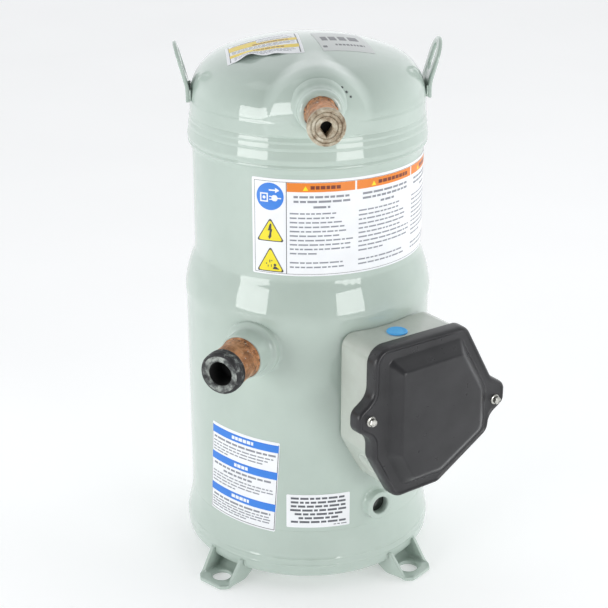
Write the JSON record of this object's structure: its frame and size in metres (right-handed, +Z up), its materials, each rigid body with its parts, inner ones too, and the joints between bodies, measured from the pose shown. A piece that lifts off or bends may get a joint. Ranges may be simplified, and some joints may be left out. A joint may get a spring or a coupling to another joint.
{
  "type": "scroll compressor",
  "caption": "Hermetic scroll compressor: welded painted steel shell on four feet, side suction and top discharge stubs, terminal box, motor and scroll set inside.",
  "frame": {"origin": "shell axis at floor level, the centre of the four foot holes on the underside of the feet", "axes": "+Z up along the shell axis, front (-Y) is the side with the discharge stub, terminal box at front right"},
  "size_m": [0.313, 0.309, 0.5323],
  "materials": {
    "shell_paint": "glossy",
    "label_white": "satin",
    "copper": "worn",
    "black_plastic": "satin",
    "blue_plastic": "gloss",
    "zinc_steel": "zinc plated",
    "bare_steel": "machined",
    "lamination": "stacked sheet",
    "winding": "varnished",
    "tie_cord": "matt",
    "cast_aluminium": "die cast",
    "cast_iron": "machined",
    "bronze": "sintered",
    "glass_clear": "clear",
    "glass_bead": "fused",
    "rubber_black": "matt",
    "seal_polymer": "filled PTFE",
    "spring_steel": "ground"
  },
  "bodies": {
    "housing": {"bottom_cap": "shell_paint", "shell_body": "shell_paint", "top_cap": "shell_paint", "mounting_foot": "shell_paint", "lifting_lug": "shell_paint", "suction_fitting": "shell_paint", "suction_stub": "copper", "discharge_fitting": "shell_paint", "discharge_stub": "copper", "sight_glass_boss": "shell_paint", "sight_glass_lens": "glass_clear", "sight_glass_ring": "zinc_steel", "terminal_box": "shell_paint", "hole_plug": "blue_plastic", "terminal_cup": "bare_steel", "terminal_pins": "bare_steel", "terminal_beads": "glass_bead", "earth_screw": "bronze", "stator_core": "lamination", "stator_windings": "winding", "winding_ties": "tie_cord", "motor_leads": "tie_cord", "main_bearing": "bronze", "main_frame": "cast_iron", "lower_bearing_plate": "bare_steel", "lower_bearing": "bronze", "fixed_scroll": "cast_iron", "scroll_bolts": "zinc_steel", "fixed_tip_seal": "seal_polymer", "separator_plate": "bare_steel", "valve_guard": "spring_steel", "warning_label": "label_white", "oil_label": "label_white", "notice_label": "label_white", "dome_label_left": "label_white", "dome_label_right": "label_white"},
    "crank": {"crankshaft": "bare_steel", "oil_pickup": "bare_steel", "rotor_core": "lamination", "rotor_end_rings": "cast_aluminium", "upper_counterweight": "cast_iron", "lower_counterweight": "cast_iron"},
    "moving_scroll": {"orbiting_scroll": "cast_aluminium", "orbiting_bearing": "bronze", "orbiting_tip_seal": "seal_polymer"},
    "thrust_washer": {"thrust_ring": "spring_steel"},
    "coupling_ring": {"oldham_ring": "cast_aluminium"},
    "check_valve": {"valve_disc": "spring_steel"},
    "cover": {"terminal_cover": "black_plastic", "cover_gasket": "rubber_black", "cover_screws": "zinc_steel"}
  },
  "joints": [
    {"name": "crank_spin", "type": "hinge", "parent": "housing", "child": "crank", "pos_m": [0, 0, 0.2], "axis": [0, 0, 1], "continuous": true},
    {"name": "scroll_counter_turn", "type": "hinge", "parent": "crank", "child": "moving_scroll", "pos_m": [0.0053, 0, 0.35], "axis": [0, 0, 1], "continuous": true},
    {"name": "thrust_ring_float", "type": "hinge", "parent": "crank", "child": "thrust_washer", "pos_m": [0.00265, 0, 0.353], "axis": [0, 0, 1], "continuous": true},
    {"name": "coupling_ring_slide", "type": "hinge", "parent": "thrust_washer", "child": "coupling_ring", "pos_m": [0.0053, 0, 0.353], "axis": [0, 0, 1], "continuous": true},
    {"name": "valve_lift", "type": "slide", "parent": "housing", "child": "check_valve", "axis": [0, 0, 1], "range_m": [0, 0.004]},
    {"name": "cover_pull", "type": "slide", "parent": "housing", "child": "cover", "axis": [0.5, -0.866, 0], "range_m": [0, 0.08]}
  ],
  "couplings": [
    {"joint": "scroll_counter_turn", "follows": "crank_spin", "ratio": -1},
    {"joint": "thrust_ring_float", "follows": "crank_spin", "ratio": -2},
    {"joint": "coupling_ring_slide", "follows": "crank_spin", "ratio": 1}
  ]
}
